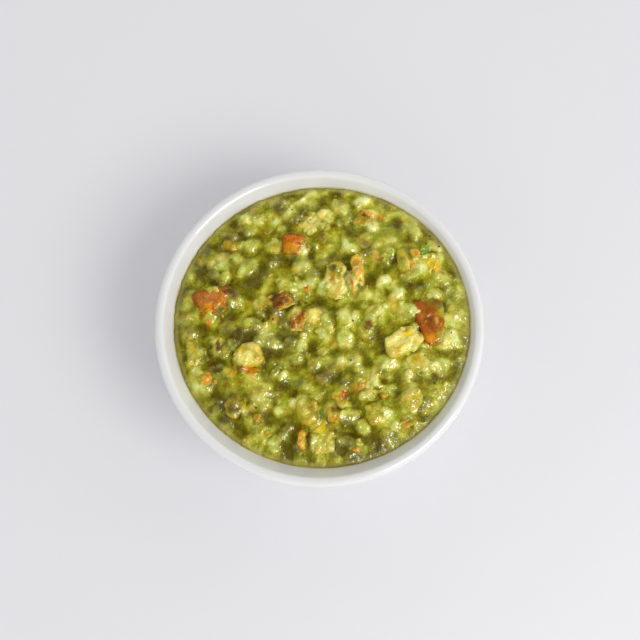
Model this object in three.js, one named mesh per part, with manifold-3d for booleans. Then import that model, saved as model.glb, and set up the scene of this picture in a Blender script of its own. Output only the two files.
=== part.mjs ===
// Guacamole heaped in a round white bowl, with tomato and avocado pieces in it.
// Millimetres, +Z up. The origin is the centre of the foot ring, on the surface
// that the bowl stands on. +Y is the far side and -Y the near side.

import * as THREE from 'three';
import { mergeVertices } from 'three/addons/utils/BufferGeometryUtils.js';
import Module from 'manifold-3d';

const wasm = await Module();
wasm.setup();

const { cos, hypot, sin, PI } = Math;
const TURN = 2 * PI;
const { degToRad } = THREE.MathUtils;

// ---------------------------------------------------------------- dimensions

// Bowl
const RIM_RADIUS = 57.5;
const BOWL_HEIGHT = 42;
const LIP_RADIUS = 1.9; // the lip is a full round
const WALL_FLARE = degToRad(35); // of the wall just below the lip, from the vertical
const OUTER_WALL_REACH = 24; // how far the flare carries down the outside
const INNER_WALL_REACH = 22; // and down the inside
const FLOOR_HEIGHT = 6;
const FLOOR_RADIUS = 10; // flat middle of the inside
const FLOOR_BEND_RADIUS = 30; // where the inside turns up towards the wall
const FOOT_INNER_RADIUS = 21.8;
const FOOT_OUTER_RADIUS = 25.4;
const FOOT_HEIGHT = 3.8;
const FOOT_TAPER = 0.8; // the foot widens by this towards the bowl
const FOOT_RECESS = 2.2;
const BOWL_SEGMENTS = 64;
const OUTER_WALL_STEPS = 6;
const LIP_STEPS = 6;
const INNER_WALL_STEPS = 9;

// Guacamole: its level on the wall, its mound and its lumps
const GAP = 0.3; // between touching pieces
const EDGE_DEPTH = 4.45; // below the top of the lip, on average
const EDGE_TILT = 1.4; // the edge lies this much lower towards EDGE_TILT_ANGLE
const EDGE_TILT_ANGLE = degToRad(220);
const EDGE_SADDLE = 0.8; // and is higher at the two sides than front and back
const MOUND_RISE = 4.6; // from the edge to the middle
const MOUND_POWER = 4; // steep near the wall, flat over the middle
const SWELL_HEIGHT = 0.25; // of each of three broad waves, along X, Y and between
const SWELLS = [
  { along: [1, 0], length: 31, shift: 1 },
  { along: [0, 1], length: 23, shift: 2 },
  { along: [1, 1], length: 17, shift: 0 },
];
const LUMP_COUNT = 300;
const LUMP_SEED = 12;
const LUMP_RADIUS = { smallest: 2.5, largest: 5 };
const LUMP_STEEPNESS = 0.4; // height of a lump for its radius
const LUMP_FLATTENING = 0.4; // how far from round the flattest lump is
const LUMP_EDGE_POWER = 3; // flat on top and steep at the edge
const LUMP_FADE_POWER = 12; // lumps die out against the wall
const SURFACE_RINGS = 26; // the first has 6 points, and each has 6 more than the one inside it
const SECTORS = 6;
const HIDDEN_RING_HEIGHTS = [29, 21, 13.5, 9];
const HIDDEN_RING_POINTS = (SECTORS * SURFACE_RINGS) / 3;

// Pieces that stand out of the guacamole. `at` is the middle, `size` is along
// X, Y and Z before `turn` about Z in degrees, and `stands` is how far the top
// is above the guacamole.
const AVOCADO_CHUNKS = {
  avocado_chunk_centre: { at: [5.9, 14.4], size: [9.8, 15, 8], turn: 4, stands: 3, facets: 2 },
  avocado_chunk_left: { at: [-24.6, -12.2], size: [9.5, 8.5, 7], turn: 20, stands: 2.8, facets: 2 },
  avocado_chunk_right: { at: [28.7, -7.9], size: [14, 7.5, 6.5], turn: 28, stands: 2.4, facets: 2 },
  avocado_chunk_front: { at: [1.2, -39.6], size: [10, 12, 7], turn: -6, stands: 2.4, facets: 2 },
  avocado_chunk_middle: { at: [13.8, -22.4], size: [10, 11, 7], turn: 35, stands: 2.2, facets: 1 },
  avocado_chunk_side: { at: [39.2, 18.8], size: [8, 11, 6.5], turn: 10, stands: 1.9, facets: 1 },
  avocado_chunk_back: { at: [-2.9, 36.3], size: [12, 8.5, 6.5], turn: -30, stands: 1.9, facets: 1 },
  avocado_chunk_corner: { at: [-24.8, 36.2], size: [9, 8.5, 6], turn: 40, stands: 1.6, facets: 1 },
};
const TOMATO_DICE = {
  tomato_dice_back: { at: [-9.2, 27.4], size: [9, 8, 6], turn: -8, stands: 2.1, taper: 0.05 },
  tomato_wedge_left: { at: [-37, 6.6], size: [11, 10.5, 7], turn: 12, stands: 2.2, taper: 0.4 },
  tomato_flesh_right: { at: [38.5, -1.4], size: [8.8, 15.5, 7], turn: 10, stands: 1.8, taper: 0.35 },
  tomato_strip_centre: { at: [13.4, 17.2], size: [3.8, 12.5, 6], turn: 6, stands: 2.5, taper: 0.1 },
};
const TOMATO_SKINS = {
  tomato_skin_upper: { at: [-13.4, 7], length: 10, width: 5.6, turn: 24, stands: 1.7 },
  tomato_skin_lower: { at: [-7.2, 0.3], length: 9.5, width: 4.6, turn: 78, stands: 1.8 },
  tomato_skin_back: { at: [16.4, 38.4], length: 10.5, width: 5, turn: -27, stands: 1.3 },
};
const SKIN_THICKNESS = 1.3;
const SKIN_CURL_RADIUS = 6;

// Smaller pieces, part of the guacamole's own solid: [x, y, width, length, height, turn]
const AVOCADO_BITS = [
  [-1.4, 1.2, 5.8, 5.8, 5.5, 0], [-44.2, -8.4, 4.6, 12.5, 4, 4], [-28.7, -29.8, 7, 9, 4.5, -20],
  [-4, -31.6, 7.4, 9, 5, 10], [33.6, -15, 6.5, 7, 4.5, 30], [31.4, -27.6, 7, 8, 5, -40],
  [18.6, -32, 7, 9, 5, 20], [-30.6, 29.4, 8, 5.4, 4, 0], [29.6, 19.6, 4.6, 12, 4.5, 12],
];
const TOMATO_BITS = [
  [-23.6, -18.6, 7, 4.6, 4.4, -12], [7.2, -27.6, 4.6, 5.6, 4, 20], [4.6, -33.4, 4, 5, 3.6, 0],
  [-35, -9.2, 3.4, 7, 3, 8], [-39, -20.8, 4.6, 4, 3.6, 30], [33.6, 23.6, 3, 4.4, 3.4, 0],
  [-6, -41, 3, 8, 4, 4], [16.4, -2.5, 2.8, 5, 3, -20], [-4.7, 11.6, 2.8, 2.8, 3, 0],
  [21.6, -25.6, 3, 4, 3.4, 15], [29, -35.6, 6, 3.6, 3.4, 40], [-21.2, -34.2, 3, 3.4, 3.2, 0],
  [-17.4, -39, 3.6, 3, 3.2, 25], [12.4, -43.4, 3, 4, 3.2, 0],
];
const BIT_SINK = 0.1; // of a bit's height, from its middle up to the guacamole's surface

const COLOURS = {
  glaze: { color: 0xf1f1f0, roughness: 0.15, metalness: 0 },
  guacamole: { color: 0x8f8a33, roughness: 0.35, metalness: 0 },
  avocado: { color: 0xc9c468, roughness: 0.4, metalness: 0 },
  tomato: { color: 0xbd5a26, roughness: 0.3, metalness: 0 },
  tomatoSkin: { color: 0x8f3a1c, roughness: 0.3, metalness: 0 },
};

// --------------------------------------------------------------------- tools

// The same stream of numbers between 0 and 1 for the same seed.
function seededRandom(seed) {
  const multiplier = 1664525;
  const increment = 1013904223;
  const range = 2 ** 32;
  let state = seed;
  return () => {
    state = (Math.imul(state, multiplier) + increment) >>> 0;
    return state / range;
  };
}

function indexedGeometry(positions, triangles) {
  const geometry = new THREE.BufferGeometry();
  geometry.setAttribute('position', new THREE.Float32BufferAttribute(positions, 3));
  geometry.setIndex(triangles);
  return geometry;
}

// Keeps positions only and joins the vertices that meet.
function welded(geometry) {
  geometry.deleteAttribute('normal');
  geometry.deleteAttribute('uv');
  return mergeVertices(geometry);
}

function toSolid(geometry) {
  const vertProperties = new Float32Array(geometry.attributes.position.array);
  const triVerts = new Uint32Array(geometry.index.array);
  return new wasm.Manifold(new wasm.Mesh({ numProp: 3, vertProperties, triVerts }));
}

function toGeometry(solid) {
  const { vertProperties, triVerts } = solid.getMesh();
  return indexedGeometry(Array.from(vertProperties), Array.from(triVerts));
}

function namedMesh(name, geometry, colour) {
  const mesh = new THREE.Mesh(geometry, new THREE.MeshStandardMaterial(colour));
  mesh.name = name;
  return mesh;
}

// Moves every vertex of a geometry by a function of its position.
function reshape(geometry, move) {
  const { position } = geometry.attributes;
  const point = new THREE.Vector3();
  for (let i = 0; i < position.count; i += 1) {
    point.fromBufferAttribute(position, i);
    move(point);
    position.setXYZ(i, point.x, point.y, point.z);
  }
  return geometry;
}

// ---------------------------------------------------------------------- bowl

const lipCentre = new THREE.Vector2(RIM_RADIUS - LIP_RADIUS, BOWL_HEIGHT - LIP_RADIUS);
const downTheWall = new THREE.Vector2(-sin(WALL_FLARE), -cos(WALL_FLARE));
const acrossTheWall = new THREE.Vector2(cos(WALL_FLARE), -sin(WALL_FLARE));

const outerWallTop = lipCentre.clone().addScaledVector(acrossTheWall, LIP_RADIUS);
const outerWall = new THREE.QuadraticBezierCurve(
  new THREE.Vector2(FOOT_OUTER_RADIUS + FOOT_TAPER, FOOT_HEIGHT),
  outerWallTop.clone().addScaledVector(downTheWall, OUTER_WALL_REACH),
  outerWallTop,
);
const lip = new THREE.EllipseCurve(
  lipCentre.x, lipCentre.y, LIP_RADIUS, LIP_RADIUS, -WALL_FLARE, PI - WALL_FLARE,
);
const innerWallTop = lipCentre.clone().addScaledVector(acrossTheWall, -LIP_RADIUS);
const innerWall = new THREE.CubicBezierCurve(
  innerWallTop,
  innerWallTop.clone().addScaledVector(downTheWall, INNER_WALL_REACH),
  new THREE.Vector2(FLOOR_BEND_RADIUS, FLOOR_HEIGHT),
  new THREE.Vector2(FLOOR_RADIUS, FLOOR_HEIGHT),
);
const innerWallPoints = innerWall.getPoints(INNER_WALL_STEPS);

// A turned section on Y, stood up so that its axis is Z.
function turned(profile, segments) {
  return new THREE.LatheGeometry(profile, segments).rotateX(PI / 2);
}

function bowl() {
  const foot = [
    new THREE.Vector2(0, FOOT_RECESS),
    new THREE.Vector2(FOOT_INNER_RADIUS - FOOT_TAPER, FOOT_RECESS),
    new THREE.Vector2(FOOT_INNER_RADIUS, 0),
    new THREE.Vector2(FOOT_OUTER_RADIUS, 0),
  ];
  const profile = [
    ...foot,
    ...outerWall.getPoints(OUTER_WALL_STEPS),
    ...lip.getPoints(LIP_STEPS).slice(1, -1),
    ...innerWallPoints,
    new THREE.Vector2(0, FLOOR_HEIGHT),
  ];
  return namedMesh('bowl', turned(profile, BOWL_SEGMENTS), COLOURS.glaze);
}

// Radius of the inside of the bowl at a height.
function insideRadius(height) {
  const below = innerWallPoints.findIndex((point) => point.y <= height);
  if (below === 0) {
    return innerWallTop.x;
  }
  const upper = innerWallPoints[below - 1];
  const lower = innerWallPoints[below];
  const share = (height - lower.y) / (upper.y - lower.y);
  return lower.x + share * (upper.x - lower.x);
}

// ----------------------------------------------------------------- guacamole

function edgeHeight(angle) {
  const tilt = EDGE_TILT * cos(angle - EDGE_TILT_ANGLE);
  const saddle = EDGE_SADDLE * cos(2 * angle);
  return BOWL_HEIGHT - (EDGE_DEPTH + tilt - saddle);
}

const gapAcross = GAP / cos(WALL_FLARE);

function edgeRadius(angle) {
  return insideRadius(edgeHeight(angle)) - gapAcross;
}

// Rounded lumps of mash, of uneven size, stretched and turned at random.
function scatterLumps() {
  const random = seededRandom(LUMP_SEED);
  const lumps = [];
  for (let i = 0; i < LUMP_COUNT; i += 1) {
    const angle = random() * TURN;
    const distance = Math.sqrt(random()) * RIM_RADIUS;
    const spread = random();
    const radius = THREE.MathUtils.lerp(LUMP_RADIUS.smallest, LUMP_RADIUS.largest, spread * spread);
    const turn = random() * PI;
    lumps.push({
      x: distance * cos(angle),
      y: distance * sin(angle),
      radius,
      narrowing: 1 - LUMP_FLATTENING * random(),
      alongX: cos(turn),
      alongY: sin(turn),
      height: radius * LUMP_STEEPNESS * (0.5 + random()),
    });
  }
  return lumps;
}

const lumps = scatterLumps();

// Height of the highest lump at a point, so that lumps meet in creases.
function lumpHeight(x, y) {
  let highest = 0;
  for (const lump of lumps) {
    const along = (x - lump.x) * lump.alongX + (y - lump.y) * lump.alongY;
    const across = (y - lump.y) * lump.alongX - (x - lump.x) * lump.alongY;
    const distance = hypot(along, across / lump.narrowing) / lump.radius;
    highest = Math.max(highest, lump.height * (1 - distance ** LUMP_EDGE_POWER));
  }
  return highest;
}

function swellHeight(x, y) {
  return SWELLS.reduce((height, { along, length, shift }) => {
    const way = along[0] * x + along[1] * y;
    return height + SWELL_HEIGHT * sin((TURN * way) / length + shift);
  }, 0);
}

// Top of the guacamole at a point.
function surfaceHeight(x, y) {
  const angle = Math.atan2(y, x);
  const reach = Math.min(1, hypot(x, y) / edgeRadius(angle));
  const mound = MOUND_RISE * (1 - reach ** MOUND_POWER);
  const unevenness = (lumpHeight(x, y) + swellHeight(x, y)) * (1 - reach ** LUMP_FADE_POWER);
  return edgeHeight(angle) + mound + unevenness;
}

// Triangles between one ring and the next inside it. `point` gives the index of
// a ring's point.
function ringTriangles(ring, point) {
  const triangles = [];
  for (let sector = 0; sector < SECTORS; sector += 1) {
    const outer = sector * ring;
    const inner = sector * (ring - 1);
    for (let i = 0; i < ring; i += 1) {
      const near = point(ring - 1, inner + i);
      const next = point(ring, outer + i + 1);
      triangles.push(near, point(ring, outer + i), next);
      if (i < ring - 1) {
        triangles.push(near, next, point(ring - 1, inner + i + 1));
      }
    }
  }
  return triangles;
}

// The bare mash: rings of points over the top, and the inside of the bowl below.
function mash() {
  const positions = [0, 0, surfaceHeight(0, 0)];
  const triangles = [];

  const ringStart = (ring) => 1 + (SECTORS * ring * (ring - 1)) / 2;
  const point = (ring, i) => (ring === 0 ? 0 : ringStart(ring) + (i % (SECTORS * ring)));
  for (let ring = 1; ring <= SURFACE_RINGS; ring += 1) {
    for (let i = 0; i < SECTORS * ring; i += 1) {
      const angle = (TURN * i) / (SECTORS * ring);
      const radius = (edgeRadius(angle) * ring) / SURFACE_RINGS;
      const x = radius * cos(angle);
      const y = radius * sin(angle);
      positions.push(x, y, surfaceHeight(x, y));
    }
    triangles.push(...ringTriangles(ring, point));
  }

  // Hidden rings follow the wall down. Each point of the first meets three of the edge.
  const edgePoints = SECTORS * SURFACE_RINGS;
  const edge = (i) => point(SURFACE_RINGS, i + edgePoints);
  const hiddenStart = positions.length / 3;
  const hidden = (row, j) => hiddenStart + row * HIDDEN_RING_POINTS + (j % HIDDEN_RING_POINTS);
  const bottomHeight = FLOOR_HEIGHT + GAP;
  const rows = HIDDEN_RING_HEIGHTS.map((height) => [insideRadius(height) - 2 * GAP, height]);
  rows.push([FLOOR_RADIUS, bottomHeight]);
  rows.forEach(([radius, height], row) => {
    for (let j = 0; j < HIDDEN_RING_POINTS; j += 1) {
      const angle = (TURN * j) / HIDDEN_RING_POINTS;
      positions.push(radius * cos(angle), radius * sin(angle), height);
      if (row === 0) {
        for (const step of [-1, 0, 1]) {
          triangles.push(edge(3 * j + step), hidden(0, j), edge(3 * j + step + 1));
        }
        triangles.push(hidden(0, j), hidden(0, j + 1), edge(3 * j + 2));
      } else {
        triangles.push(hidden(row - 1, j), hidden(row, j), hidden(row - 1, j + 1));
        triangles.push(hidden(row - 1, j + 1), hidden(row, j), hidden(row, j + 1));
      }
    }
  });
  const bottom = positions.length / 3;
  positions.push(0, 0, bottomHeight);
  for (let j = 0; j < HIDDEN_RING_POINTS; j += 1) {
    triangles.push(bottom, hidden(rows.length - 1, j + 1), hidden(rows.length - 1, j));
  }
  return toSolid(indexedGeometry(positions, triangles));
}

// -------------------------------------------------------------------- pieces

const BOXINESS = 4; // 2 is an ellipsoid, and more is squarer
const WANDER = 0.07; // of a cut face, for the piece's size
const WANDER_WAVES = [3, 3, 4]; // along X, Y and Z
const FIRST_SEED = { chunks: 1, dice: 20, bits: 40 };

// A cut piece with soft corners and uneven faces. taper narrows it towards -Y.
function cutPiece(base, [width, length, height], taper, seed) {
  const random = seededRandom(seed);
  const shifts = WANDER_WAVES.map(() => random() * TURN);
  return reshape(welded(base), (point) => {
    const parts = point.toArray();
    const norm = parts.reduce((sum, part) => sum + Math.abs(part) ** BOXINESS, 0);
    const wander = parts.reduce((sum, part, i) => sum + sin(WANDER_WAVES[i] * part + shifts[i]), 0);
    point.multiplyScalar(norm ** (-1 / BOXINESS) * (1 + WANDER * wander));
    point.x *= (width / 2) * (1 + taper * point.y);
    point.y *= length / 2;
    point.z *= height / 2;
  });
}

// A strip of skin that arches out of the guacamole, both ends pushed in.
function curledSkin(length, width, thickness) {
  const strip = new THREE.BoxGeometry(length, width, thickness, 6, 2, 1);
  return reshape(welded(strip), (point) => {
    const angle = point.x / SKIN_CURL_RADIUS;
    const radius = SKIN_CURL_RADIUS + point.z;
    point.set(radius * sin(angle), point.y, radius * cos(angle) - SKIN_CURL_RADIUS);
  });
}

// Sets a geometry into the guacamole with its top `stands` above the surface.
function setInto(geometry, [x, y], turn, stands) {
  geometry.rotateZ(degToRad(turn));
  geometry.computeBoundingBox();
  return geometry.translate(x, y, surfaceHeight(x, y) + stands - geometry.boundingBox.max.z);
}

const grown = (size, growth) => size.map((side) => side + growth);
const pieces = [];
const pockets = [];

// Adds a piece, and the pocket that keeps the guacamole clear of it.
function addPiece(name, make, at, turn, stands, colour) {
  pieces.push(namedMesh(name, setInto(make(0), at, turn, stands), colour));
  pockets.push(toSolid(setInto(make(2 * GAP), at, turn, stands + GAP)));
}

Object.entries(AVOCADO_CHUNKS).forEach(([name, { at, size, turn, stands, facets }], i) => {
  const make = (growth) => cutPiece(
    new THREE.IcosahedronGeometry(1, facets), grown(size, growth), 0, FIRST_SEED.chunks + i,
  );
  addPiece(name, make, at, turn, stands, COLOURS.avocado);
});

Object.entries(TOMATO_DICE).forEach(([name, { at, size, turn, stands, taper }], i) => {
  const make = (growth) => cutPiece(
    new THREE.IcosahedronGeometry(1, 1), grown(size, growth), taper, FIRST_SEED.dice + i,
  );
  addPiece(name, make, at, turn, stands, COLOURS.tomato);
});

Object.entries(TOMATO_SKINS).forEach(([name, { at, length, width, turn, stands }]) => {
  const make = (growth) => curledSkin(length + growth, width + growth, SKIN_THICKNESS + growth);
  addPiece(name, make, at, turn, stands, COLOURS.tomatoSkin);
});

function bit([x, y, width, length, height, turn], seed) {
  const geometry = cutPiece(new THREE.OctahedronGeometry(1, 1), [width, length, height], 0, seed);
  const middle = surfaceHeight(x, y) - BIT_SINK * height;
  return toSolid(geometry.rotateZ(degToRad(turn)).translate(x, y, middle));
}

function guacamole() {
  let solid = mash();
  [...AVOCADO_BITS, ...TOMATO_BITS].forEach((row, i) => {
    solid = solid.add(bit(row, FIRST_SEED.bits + i));
  });
  for (const pocket of pockets) {
    solid = solid.subtract(pocket);
  }
  const [whole] = solid.decompose().sort((a, b) => b.volume() - a.volume()); // without cut-off scraps
  return namedMesh('guacamole', toGeometry(whole), COLOURS.guacamole);
}

const bowlOfGuacamole = new THREE.Group();
bowlOfGuacamole.name = 'bowl_of_guacamole';
bowlOfGuacamole.add(bowl(), guacamole(), ...pieces);

export default bowlOfGuacamole;
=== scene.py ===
"""The looks of a bowl of guacamole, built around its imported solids.

Metres, +Z up. The origin is the centre of the foot ring, on the surface that
the bowl stands on. +Y is the far side and -Y the near side. The scales of
noise and cells are in repeats for each metre.
"""

import math

import bmesh
import bpy
import numpy as np
from bpy.props import FloatProperty, FloatVectorProperty, IntProperty, PointerProperty
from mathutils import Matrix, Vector


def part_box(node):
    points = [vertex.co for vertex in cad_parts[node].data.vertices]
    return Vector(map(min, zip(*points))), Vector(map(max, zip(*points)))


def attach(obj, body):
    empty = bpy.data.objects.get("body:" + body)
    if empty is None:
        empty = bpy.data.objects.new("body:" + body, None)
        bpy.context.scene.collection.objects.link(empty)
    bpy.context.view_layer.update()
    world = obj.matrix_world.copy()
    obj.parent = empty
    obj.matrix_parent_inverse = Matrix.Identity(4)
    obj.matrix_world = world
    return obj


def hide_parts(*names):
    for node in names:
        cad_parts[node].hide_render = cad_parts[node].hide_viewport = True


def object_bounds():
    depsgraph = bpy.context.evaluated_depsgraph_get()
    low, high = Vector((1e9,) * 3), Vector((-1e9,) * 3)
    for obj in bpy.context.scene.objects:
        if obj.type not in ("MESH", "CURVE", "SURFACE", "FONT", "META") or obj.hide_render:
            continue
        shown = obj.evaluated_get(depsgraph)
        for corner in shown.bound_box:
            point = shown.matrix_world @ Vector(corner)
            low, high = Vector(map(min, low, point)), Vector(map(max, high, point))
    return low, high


bl_info = {
    "name": "Bowl of Guacamole",
    "version": (1, 0, 0),
    "blender": (4, 5, 0),
    "location": "3D View > Sidebar > Guacamole",
    "description": "A white bowl of guacamole with avocado and tomato pieces",
    "category": "Add Mesh",
}

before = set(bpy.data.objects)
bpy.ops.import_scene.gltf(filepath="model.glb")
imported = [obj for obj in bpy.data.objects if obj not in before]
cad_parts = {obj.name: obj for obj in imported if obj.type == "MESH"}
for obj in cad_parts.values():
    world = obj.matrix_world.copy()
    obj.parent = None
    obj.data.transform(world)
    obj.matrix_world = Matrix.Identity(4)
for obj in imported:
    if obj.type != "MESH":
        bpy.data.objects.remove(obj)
FRAME_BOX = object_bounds()

MM = 0.001
TURN = 2 * math.pi


def screen(red, green, blue):
    """A colour named by its 0 to 255 screen values, as linear light."""
    shares = [value / 255 for value in (red, green, blue)]
    return tuple(
        ((share + 0.055) / 1.055) ** 2.4 if share > 0.04 else share / 12.92
        for share in shares
    )


# ---- settings


def setting(kind, convert=None, **fixed):
    """A maker of settings of one kind, whose defaults may need converting."""

    def make(description, default):
        default = convert(default) if convert else default
        return kind, {"description": description, "default": default, **fixed}

    return make


def metres(millimetres):
    return millimetres * MM


# Defaults of lengths are in millimetres here, and those of angles in degrees
length = setting(FloatProperty, metres, unit="LENGTH")
angle = setting(FloatProperty, math.radians, subtype="ANGLE")
share, plain = setting(FloatProperty, subtype="FACTOR"), setting(FloatProperty)
count = setting(IntProperty)
colour = setting(FloatVectorProperty, subtype="COLOR", min=0, max=1)
direction = setting(FloatVectorProperty, subtype="DIRECTION")


def titled(group):
    """Makes properties of a group's settings, each named after its attribute."""
    for key, (kind, values) in group.__annotations__.items():
        title = key.replace("_", " ").capitalize()
        group.__annotations__[key] = kind(name=title, **values)
    return group


@titled
class BowlSettings(bpy.types.PropertyGroup):
    """The bowl's section and its glaze."""

    rim_radius: length("Outside of the lip", FRAME_BOX[1].x / MM)
    height: length("Top of the lip", 42)
    lip_radius: length("The lip is a full round", 1.9)
    flare: angle("Lean of the wall just below the lip", 35)
    outer_reach: length("How far the flare carries down outside", 24)
    inner_reach: length("How far the flare carries down inside", 22)
    floor_height: length("Top of the floor", 6)
    floor_radius: length("Flat middle of the inside", 10)
    floor_bend: length("Where the inside turns up to the wall", 30)
    foot_inner: length("Inside of the foot ring", 21.8)
    foot_outer: length("Outside of the foot ring", 25.4)
    foot_height: length("Where the foot meets the wall", 3.8)
    foot_taper: length("How much the foot widens upwards", 0.8)
    foot_recess: length("Hollow under the bowl", 2.2)
    corner: length("Rounding of the foot's corners", 0.5)
    segments: count("Steps round the bowl", 192)
    glaze: colour("White glaze", (0.78, 0.78, 0.78))
    clay: colour("Bare clay under the foot ring", (0.62, 0.56, 0.48))
    # The colour of the painted reflection of the mash on the wall just above its edge.
    film: colour("Juice on the wall at the edge of the mash", screen(186, 172, 88))


@titled
class MashSettings(bpy.types.PropertyGroup):
    """The level, mound, lumps and curds of the guacamole."""

    edge_depth: length("Below the top of the lip, on average", 4.45)
    edge_tilt: length("How much lower the low side is", 1.4)
    edge_tilt_angle: angle("Direction of the low side", 220)
    edge_saddle: length("Rise of the edge at the two sides", 0.8)
    edge_raggedness: length("How unevenly the edge lies", 0.35)
    edge_overlap: length("How far the edge reaches into the wall", 0.08)
    mound_rise: length("From the edge to the middle", 4.6)
    mound_power: plain("Steep near the wall, flat over the middle", 4)
    swell: length("Height of each of three broad waves", 0.25)
    lump_count: count("Number of rounded lumps", 300)
    lump_seed: count("Seed of the lumps", 12)
    lump_smallest: length("Radius of the smallest lump", 2.5)
    lump_largest: length("Radius of the largest lump", 5)
    lump_steepness: share("Height of a lump for its radius", 0.4)
    lump_flattening: share("How far from round a lump may be", 0.4)
    lump_edge_power: plain("Flat on top and steep at the edge", 3)
    lump_fade_power: plain("Lumps die out against the wall", 12)
    rings: count("Rings of points over the top", 168)
    collar_height: length("How the mash piles up against a piece", 0.6)
    collar_width: length("Width of that pile", 1.6)
    calm_power: plain("Curds die out just short of the wall", 70)
    curd_size: length("Width of a curd", 4.6)
    curd_stretch: plain("How much longer than wide a curd is", 1.7)
    curd_angle: angle("Way along which most curds lie", 48)
    curd_height: length("Height of a curd", 1.55)
    crumb_share: share("Height of the crumbs on a curd, for its own", 0.1)
    bead_spacing: length("Between the small beads of avocado", 1.7)
    bead_height: length("How far such a bead stands out", 0.25)
    softness: count("How often the relief is smoothed out", 2)
    crease_share: share("Depth of the creases, for the curds' height", 0.35)
    # The dark crease and the pale top are painted shade and painted light, which cavity lays over
    # the mash's colours.
    cavity_depth: length("From a dark crease to a pale top", 2.2)
    grain_size: length("Width of the finest grain", 1.25)
    grain_height: length("Height of the finest grain", 1.3)
    paste: colour("Creamy patches", screen(160, 160, 88))
    tomato_dark: colour("Deepest tomato flesh", screen(156, 80, 0))
    tomato: colour("Tomato flesh", screen(190, 112, 0))
    tomato_light: colour("Palest tomato flesh", screen(222, 162, 40))
    pith: colour("Pale edges and pith of tomato", screen(230, 188, 74))
    skin_dark: colour("Deepest tomato skin", screen(106, 64, 8))
    skin: colour("Tomato skin", screen(156, 100, 12))
    skin_light: colour("Palest tomato skin", screen(206, 152, 48))
    pale_side: direction("Where the mash is paler", (0.94, 0.34, 0))
    crumbs: count("About how many crumbs of avocado", 120)
    flecks: count("About how many flecks of tomato", 26)
    herb_flecks: count("About how many flecks of herb", 60)
    pepper_grains: count("About how many grains of pepper", 30)
    strewn_radius: length("Of the circle over which these lie", 46)
    herb: colour("Fresh chopped herb", screen(122, 148, 32))
    herb_light: colour("Blades of the fresh sprig", screen(164, 194, 60))
    herb_dark: colour("Older chopped herb", screen(62, 82, 20))
    pepper: colour("Ground pepper", screen(38, 34, 16))
    rim: colour("Against the wall of the bowl", screen(176, 168, 92))
    # deep to pale are laid along a lightness that cavity drives as well as mottle and tone, so
    # they also paint shade in the creases and light on the crests.
    deep: colour("In the creases", screen(98, 86, 6))
    low: colour("Between the lumps", screen(130, 122, 18))
    middle: colour("On the slopes", screen(167, 161, 36))
    high: colour("On top of the lumps", screen(208, 205, 80))
    pale: colour("On the highest curds", screen(243, 242, 164))


@titled
class StageSettings(bpy.types.PropertyGroup):
    """Table, lights and camera."""

    table: colour("Pale matte table", screen(232, 232, 236))
    table_side: length("Length of the table's side", 3000)
    key_power: plain("Watts of the window light", 6.9)
    key_size: length("Side of the window light", 650)
    glint_power: plain("Watts of the lamp that only glossy things show", 24)
    glint_size: length("Side of that lamp", 470)
    key_distance: length("From the bowl to the window light", 1400)
    key_azimuth: angle("Direction of the window light", -38)
    key_elevation: angle("Height of the window light", 47)
    fill: plain("Strength of the light from all round", 0.93)
    far_wall: share("Brightness opposite the window, for the mean", 0.85)
    ceiling: share("Brightness overhead, for that of the walls", 0.45)
    lens: plain("Focal length in mm on a 36 mm sensor", 56.59)


# ---- tools


class Wire:
    """A node's output. Arithmetic with it adds the nodes that do the sum."""

    def __init__(self, tree, socket):
        self.tree, self.socket = tree, socket

    def out(self, name):
        """Another output of the same node."""
        return Wire(self.tree, self.socket.node.outputs[name])

    def __add__(self, other):
        return self.tree.math("ADD", self, other)

    def __sub__(self, other):
        return self.tree.math("SUBTRACT", self, other)

    def __rsub__(self, other):
        return self.tree.math("SUBTRACT", other, self)

    def __mul__(self, other):
        return self.tree.math("MULTIPLY", self, other)

    def __truediv__(self, other):
        return self.tree.math("DIVIDE", self, other)

    def __rtruediv__(self, other):
        return self.tree.math("DIVIDE", other, self)

    __radd__ = __add__


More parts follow.
